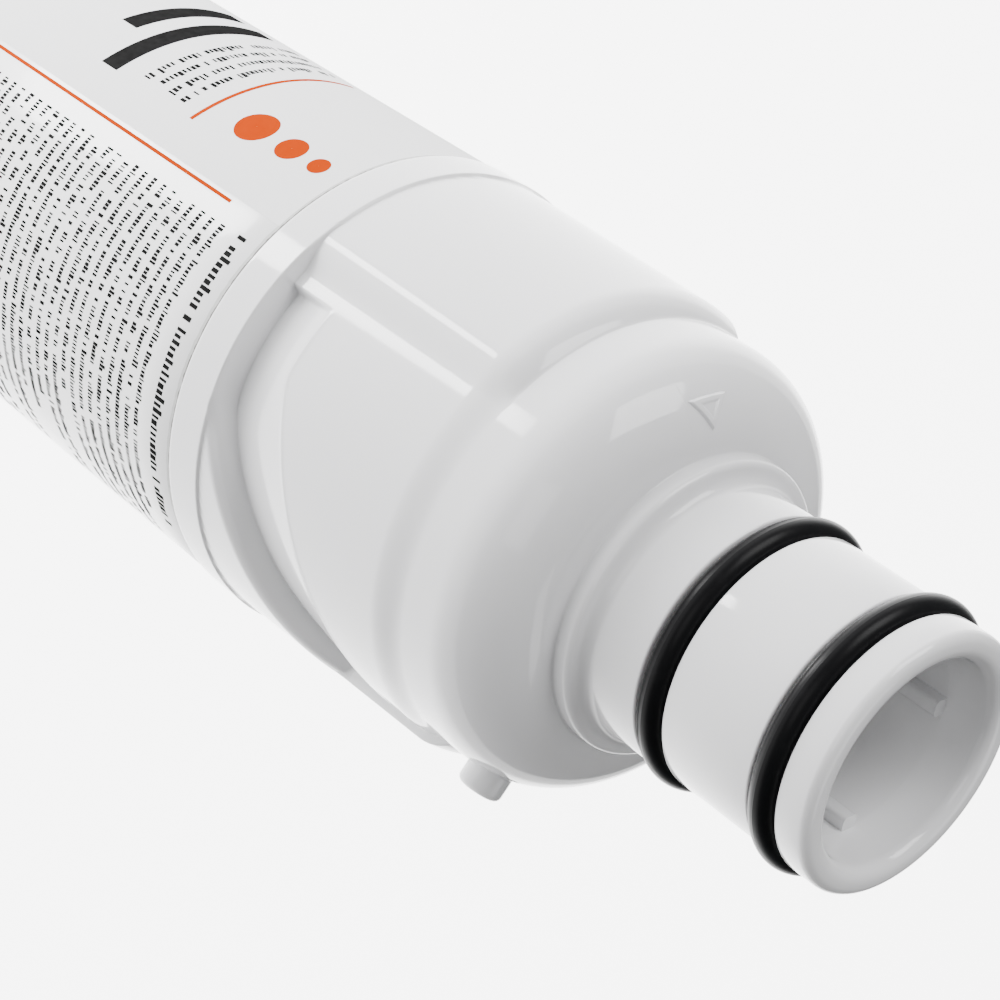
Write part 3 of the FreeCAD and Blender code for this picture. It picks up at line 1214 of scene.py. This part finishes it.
@dataclass
class Label:
    """Film label with plain generic print. Sizes in millimetres and degrees."""

    film: FilmFinish
    inks: dict[Ink, InkFinish]
    radius: float = 33.0
    inner: float = 32.81
    bottom: float = 16.0
    top: float = 147.0
    levels: Triple = (50.0, 100.0, 140.0)
    edge_round: Pair = (0.05, 0.06)
    columns: int = 360

    # Uneven cut edge
    cut_drop: float = 0.16
    cut_wave: float = 0.05
    cut_waves: int = 3
    cut_jitter: float = 0.035
    cut_seed: int = 11
    cut_overrun: int = 8
    cut_blur: int = 3

    # Overlapping end of the film
    seam_angle: float = 95.0
    overlap: float = 6.0
    overlap_across: tuple[float, ...] = (0.0, 0.0, 0.15, 0.5, 1.0)
    overlap_lift: tuple[float, ...] = (-0.03, 0.08, 0.1, 0.06, -0.02)
    overlap_inset: Pair = (0.1, 0.35)
    overlap_rows: int = 24

    # Print
    lift: dict[Ink, float] = field(
        default_factory=lambda: {Ink.PANEL: 0.012, Ink.ACCENT: 0.024, Ink.DARK: 0.03}
    )
    patch_column: float = 1.5
    dot_columns: int = 48
    dot_rings: int = 5
    fields: tuple[Field, ...] = (
        Field(Ink.PANEL, (183.0, 250.0), (16.4, 146.3)),
        Field(Ink.ACCENT, (251.0, 251.9), (24.0, 137.0)),
        Field(Ink.ACCENT, (192.0, 240.0), (119.0, 119.7)),
        Field(Ink.ACCENT, (100.0, 176.0), (22.0, 30.0)),
        Field(Ink.DARK, (193.0, 240.0), (98.0, 101.6)),
        Field(Ink.DARK, (193.0, 226.0), (91.0, 94.6)),
    )
    dots: tuple[Dot, ...] = (
        Dot(Ink.ACCENT, 232.0, 128.0, 3.1),
        Dot(Ink.ACCENT, 232.0, 135.6, 2.3),
        Dot(Ink.ACCENT, 232.0, 141.4, 1.6),
    )
    blocks: tuple[SmallPrint, ...] = (
        SmallPrint("label_heading", 257.0, 44.0, 142.4, 1, 1.7, 3),
        SmallPrint("label_small_print", 257.0, 50.0, 138.6, 52, 1.05, 21),
        SmallPrint("label_side_print", 352.0, 44.0, 138.6, 44, 1.05, 45),
        SmallPrint("label_panel_print", 193.0, 26.0, 114.6, 4, 1.4, 8),
    )

    def cut_edge(self, angles: np.ndarray) -> np.ndarray:
        """Height of the film's upper edge, which is cut a little unevenly.

        Args:
            angles: Angles of the columns.

        Returns:
            The heights.
        """
        drawn = np.random.default_rng(self.cut_seed).normal(size=self.columns)
        longer = np.concatenate([drawn, drawn[:self.cut_overrun]])
        jitter = np.convolve(longer, np.ones(self.cut_blur) / self.cut_blur, "same")[:self.columns]
        wave = self.cut_wave * np.sin(np.radians(angles * self.cut_waves))
        return self.top - self.cut_drop + wave + self.cut_jitter * jitter

    def sheet(self) -> None:
        """Builds the film in place of its solid."""
        angles = np.linspace(0.0, 360.0, self.columns + 1)[:-1]
        top = self.cut_edge(angles)
        inset, drop = self.edge_round
        rows = [(self.inner, self.bottom), (self.radius - inset, self.bottom)]
        rows += [(self.radius, level) for level in (self.bottom + drop, *self.levels)]
        rows += [(self.radius, top - drop), (self.radius - inset, top), (self.inner, top)]
        points = [turned_points(radius, angles, height) for radius, height in rows]
        parts = MeshParts()
        parts.grid(np.stack(points), close_rows=True, close_columns=True)
        self.overlap_strip(parts)
        made = parts.build("label_film", self.film.material(), Slot.LABEL)
        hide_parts("label_sleeve")

    def overlap_strip(self, parts: MeshParts) -> None:
        """Adds the film's overlapping end, a thin raised strip along the back.

        Args:
            parts: Where it goes.
        """
        below, above = self.overlap_inset
        angles = self.seam_angle + np.array(self.overlap_across) * np.degrees(self.overlap / self.radius)
        heights = np.linspace(self.bottom + below, self.top - above, self.overlap_rows)[:, None]
        parts.grid(turned_points(self.radius + np.array(self.overlap_lift), angles, heights))

    def patch(self, shape: Field) -> np.ndarray:
        """Points of a plain field of ink.

        Args:
            shape: The field.

        Returns:
            Its grid of points.
        """
        first, last = shape.angles
        columns = int(abs(last - first) / self.patch_column) + 2
        heights = np.array(shape.heights)[:, None]
        return turned_points(self.radius + self.lift[shape.ink], np.linspace(first, last, columns), heights)

    def disc(self, shape: Dot) -> np.ndarray:
        """Points of a dot of ink.

        Args:
            shape: The dot.

        Returns:
            Its rings of points.
        """
        turn = np.linspace(0.0, 2 * np.pi, self.dot_columns, endpoint=False)[None, :]
        out = np.linspace(shape.radius, PINHOLE, self.dot_rings)[:, None]
        angles = shape.angle + np.degrees(out * np.cos(turn) / self.radius)
        return turned_points(self.radius + self.lift[shape.ink], angles, shape.height + out * np.sin(turn))

    def plain_print(self) -> None:
        """Builds the colour fields, rules and dots, one piece for each ink."""
        parts = {ink: MeshParts() for ink in Ink}
        for shape in self.fields:
            parts[shape.ink].grid(self.patch(shape))
        for shape in self.dots:
            parts[shape.ink].grid(self.disc(shape), close_columns=True)
        for ink, part in parts.items():
            part.build("label_" + ink.value, self.inks[ink].material(), Slot.LABEL)

    def small_print(self, block: SmallPrint) -> None:
        """Builds rows of small ticks round the label by a node tree.

        Args:
            block: Where they stand and how they look.
        """
        tree = NodeTree(block.name)
        count = tree.size("Rows", "Int", block.rows)
        ticks = tree.size("Ticks", "Int", int(block.width / (block.bar * block.cell)))
        full = tree.size("Row Length", "Float", block.width * MM)
        pitch = tree.size("Row Pitch", "Float", block.bar * block.pitch * MM)
        tall = tree.size("Tick Height", "Float", block.bar * MM)
        radius = tree.size("Radius", "Float", (self.radius + self.lift[Ink.DARK]) * MM)
        begin = tree.size("Start Angle", "Float", math.radians(block.start))
        head = tree.size("Top", "Float", block.top * MM)
        seed = tree.size("Seed", "Int", block.seed)
        material = tree.size("Ink", "Material", self.inks[Ink.DARK].material())
        index = tree.add("GeometryNodeInputIndex").outputs[0]
        row = tree.math("FLOOR", tree.math("DIVIDE", tree.math("ADD", index, 0.5), ticks))
        along = tree.math("SUBTRACT", index, tree.math("MULTIPLY", row, ticks))
        cell = tree.math("DIVIDE", full, ticks)
        across = tree.math("MULTIPLY", along, cell)
        wide = tree.math("MULTIPLY", cell, tree.random(block.tick_width, index, seed, Draw.WIDTH))
        end = tree.math("MINIMUM", tree.random(block.row_end, row, seed, Draw.ROW_END), 1.0)
        within = tree.math("LESS_THAN", across, tree.math("MULTIPLY", full, end))
        chance = tree.random((0.0, 1.0), index, seed, Draw.INKED)
        kept = tree.math("MULTIPLY", within, tree.math("GREATER_THAN", chance, block.left_out))
        drawn = tree.random((0.0, 1.0), index, seed, Draw.HEIGHT)
        more = tree.math("MULTIPLY", tree.math("POWER", drawn, block.height_power), block.more_height)
        high = tree.math("MULTIPLY", tall, tree.math("ADD", block.least_height, more))
        base = tree.math("SUBTRACT", head, tree.math("MULTIPLY", row, pitch))
        level = tree.math("ADD", base, tree.math("DIVIDE", high, 2.0))
        total = tree.math("MULTIPLY", count, ticks)
        points = tree.add("GeometryNodePoints", {"Count": total, "Position": tree.vector(X=across, Y=level)})
        square = {"Size X": 1.0, "Size Y": 1.0, "Vertices X": 2, "Vertices Y": 2}
        bars = tree.add("GeometryNodeInstanceOnPoints", {
            "Points": points.outputs[0],
            "Selection": kept,
            "Instance": tree.add("GeometryNodeMeshGrid", square).outputs[0],
            "Scale": tree.vector(X=wide, Y=high, Z=1.0),
        })
        x, y, _ = tree.axes(tree.add("GeometryNodeInputPosition").outputs[0])
        turn = tree.math("ADD", begin, tree.math("DIVIDE", x, radius))
        bent = tree.add("GeometryNodeSetPosition", {
            "Geometry": tree.realize(bars.outputs[0]), "Position": tree.around(radius, turn, y),
        })
        tree.close(bent.outputs[0], material)
        tree.piece(block.name, Slot.LABEL)

    def build(self) -> None:
        """Builds the film and all its print."""
        self.sheet()
        self.plain_print()
        for block in self.blocks:
            self.small_print(block)


@dataclass
class CadDress:
    """Materials of the solids that stay as they are."""

    finishes: dict[str, Finish]

    def build(self) -> None:
        """Puts each finish in its node's material slots."""
        for name, finish in self.finishes.items():
            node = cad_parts[name]
            node.data.materials.clear()
            node.data.materials.append(finish.material())
            LOG.info("%s: dressed with %s", name, finish.name)


@dataclass(frozen=True)
class FloorFinish(Finish):
    """Plain pale floor with painted light: its emission glows like a light table and lights the cartridge
    from below, with a brighter pool of painted light behind the cartridge. Metres.
    """

    name: str
    colour: Colour = (0.93, 0.93, 0.93, 1.0)
    second: Colour = (0.91, 0.91, 0.915, 1.0)
    cloud: Grain = Grain(6.0, 2.0)
    roughness: float = 0.9
    specular: float = 0.1
    glow: float = 2.2
    glow_behind: float = 6.4
    pool: Triple = (0.02, 0.36, 0.0)
    fade: Pair = (0.34, 0.70)

    def inputs(self, nodes: ShaderNodes, place: Socket) -> Inputs:
        """Even matt surface with a hardly visible cloud and a painted glow, brighter in a soft pool of
        painted light behind the cartridge.

        Args:
            nodes: The material's nodes.
            place: Object coordinates.

        Returns:
            The shader's inputs by name.
        """
        away = nodes.add("ShaderNodeVectorMath", {0: place, 1: self.pool}, operation="DISTANCE")
        return {
            "Base Color": nodes.mix(nodes.noise(place, self.cloud), self.colour, self.second),
            "Roughness": self.roughness,
            "Specular IOR Level": self.specular,
            # Painted light: the floor emits light, stronger in the pool behind the cartridge than further
            # away
            "Emission Color": grey(1.0),
            "Emission Strength": nodes.step(
                away.outputs["Value"], *self.fade, (self.glow_behind, self.glow)
            ),
        }


@dataclass(frozen=True)
class SoftBox:
    """One soft light. Metres, watts and degrees."""

    name: str
    place: Triple
    aim: Triple
    size: Pair
    power: float
    spin: float = 0.0

    def build(self) -> None:
        """Makes the light, turns it to its aim and spins it about its own axis."""
        lamp = bpy.data.lights.new(self.name, "AREA")
        lamp.shape = "RECTANGLE"
        lamp.size, lamp.size_y = self.size
        lamp.energy = self.power
        made = bpy.data.objects.new(self.name, lamp)
        made.location = self.place
        toward = Vector(self.aim) - Vector(self.place)
        made.rotation_mode = "QUATERNION"
        spin = Quaternion((0.0, 0.0, 1.0), math.radians(self.spin))
        made.rotation_quaternion = toward.to_track_quat("-Z", "Y") @ spin
        bpy.context.scene.collection.objects.link(made)
        LOG.info("%s: %.1f W", self.name, self.power)


@dataclass
class Studio:
    """Pale floor, even surrounding light and soft boxes. Metres."""

    floor: FloorFinish
    lights: Sequence[SoftBox]
    half_width: float = 6.0
    floor_lines: int = 13
    bright: float = 0.42
    dim: float = 0.06
    bright_side: Triple = (-0.85, -0.30, 0.35)
    bright_edge: Pair = (-0.75, 0.75)

    def build(self) -> None:
        """Builds floor, surroundings and lights."""
        line = np.linspace(-self.half_width, self.half_width, self.floor_lines)
        x, y = np.meshgrid(line, line)
        points = np.stack([x, y, np.zeros_like(x)], axis=-1).reshape(-1, 3)
        mesh = bpy.data.meshes.new("floor")
        mesh.from_pydata(points.tolist(), [], grid_faces(self.floor_lines, self.floor_lines, False, False))
        mesh.materials.append(self.floor.material())
        floor = bpy.data.objects.new("floor", mesh)
        bpy.context.scene.collection.objects.link(floor)
        self.surroundings()
        for light in self.lights:
            light.build()

    def surroundings(self) -> None:
        """Makes even light all round that is brighter on one side."""
        world = bpy.data.worlds.new("surroundings")
        world.use_nodes = True
        world.node_tree.nodes.clear()
        nodes = ShaderNodes(world.node_tree)
        look = nodes.add("ShaderNodeTexCoord").outputs["Generated"]
        side = tuple(Vector(self.bright_side).normalized())
        dot = nodes.add("ShaderNodeVectorMath", {0: look, 1: side}, operation="DOT_PRODUCT")
        share = nodes.step(dot.outputs["Value"], *self.bright_edge, (self.dim, self.bright))
        back = nodes.add("ShaderNodeBackground", {"Color": grey(1.0), "Strength": share})
        nodes.add("ShaderNodeOutputWorld", {0: back.outputs[0]})
        bpy.context.scene.world = world


@dataclass(frozen=True)
class PhotoCamera:
    """Camera at the photograph's viewing angle. Metres, with lens and sensor in millimetres."""

    place: Triple = (-0.015366, -0.257886, 0.376265)
    right: Triple = (-0.546439, 0.538827, 0.641148)
    up: Triple = (-0.835715, -0.300871, -0.45941)
    lens: float = 92.89
    sensor: float = 36.0
    clip: Pair = (0.01, 50.0)

    def build(self) -> None:
        """Makes the camera and gives it to the scene."""
        lens = bpy.data.cameras.new("photo_camera")
        lens.lens, lens.sensor_width = self.lens, self.sensor
        lens.clip_start, lens.clip_end = self.clip
        made = bpy.data.objects.new("photo_camera", lens)
        x = Vector(self.right).normalized()
        y = (Vector(self.up) - x * x.dot(Vector(self.up))).normalized()
        z = x.cross(y)
        made.matrix_world = Matrix.Translation(self.place) @ Matrix((x, y, z)).transposed().to_4x4()
        bpy.context.scene.collection.objects.link(made)
        bpy.context.scene.camera = made


def main() -> None:
    """Builds the cartridge's looks, the studio and the camera."""
    logging.basicConfig(level=logging.INFO, format="%(name)s %(message)s")
    white = PlasticFinish("white_moulded_plastic")
    rubber = RubberFinish("black_rubber")
    element = GrainFinish("element_plastic", grey(0.62), grey(0.56), 0.45, Grain(500.0, 5.0), 0.00003)
    Housing(white).build()
    inks = {
        Ink.PANEL: InkFinish("panel_ink", grey(0.70, 0.005), grey(0.68, 0.008)),
        Ink.DARK: InkFinish("dark_ink", grey(0.006), grey(0.016)),
        Ink.ACCENT: InkFinish("accent_ink", (0.30, 0.028, 0.0, 1.0), (0.33, 0.034, 0.001, 1.0)),
    }
    Label(FilmFinish("label_film_gloss"), inks).build()
    CadDress({
        "end_cap": white,
        "spigot_o_ring_front": rubber,
        "spigot_o_ring_rear": rubber,
        "element_top_cap": element,
        "element_bottom_cap": element,
        "carbon_block": GrainFinish(
            "pressed_carbon", grey(0.02), grey(0.045), 0.85, Grain(1600.0, 5.0), 0.0002
        ),
        "prefilter_wrap": GrainFinish("fleece_wrap", grey(0.80), grey(0.72), 0.9, Grain(1200.0, 5.0), 0.0001),
        "netting_sleeve": GrainFinish(
            "netting_plastic", grey(0.74), grey(0.68), 0.6, Grain(700.0, 5.0), 0.0001
        ),
    }).build()
    lights = [
        SoftBox("key", (-0.80, -0.23, 0.70), (0.0, 0.0, 0.19), (0.6, 0.5), 10.0),
        SoftBox("fill", (0.05, -0.80, 0.75), (0.0, 0.0, 0.19), (0.5, 0.5), 2.0),
        SoftBox("top", (0.10, 0.40, 1.05), (0.0, 0.0, 0.20), (0.5, 0.5), 2.0),
        SoftBox("strip", (-0.0825, -0.1655, 0.004), (-0.0825, -0.1655, 1.0), (0.044, 0.17), 0.9, 30.0),
    ]
    Studio(FloorFinish("pale_floor"), lights).build()
    PhotoCamera().build()


if __name__ == "__main__":
    main()
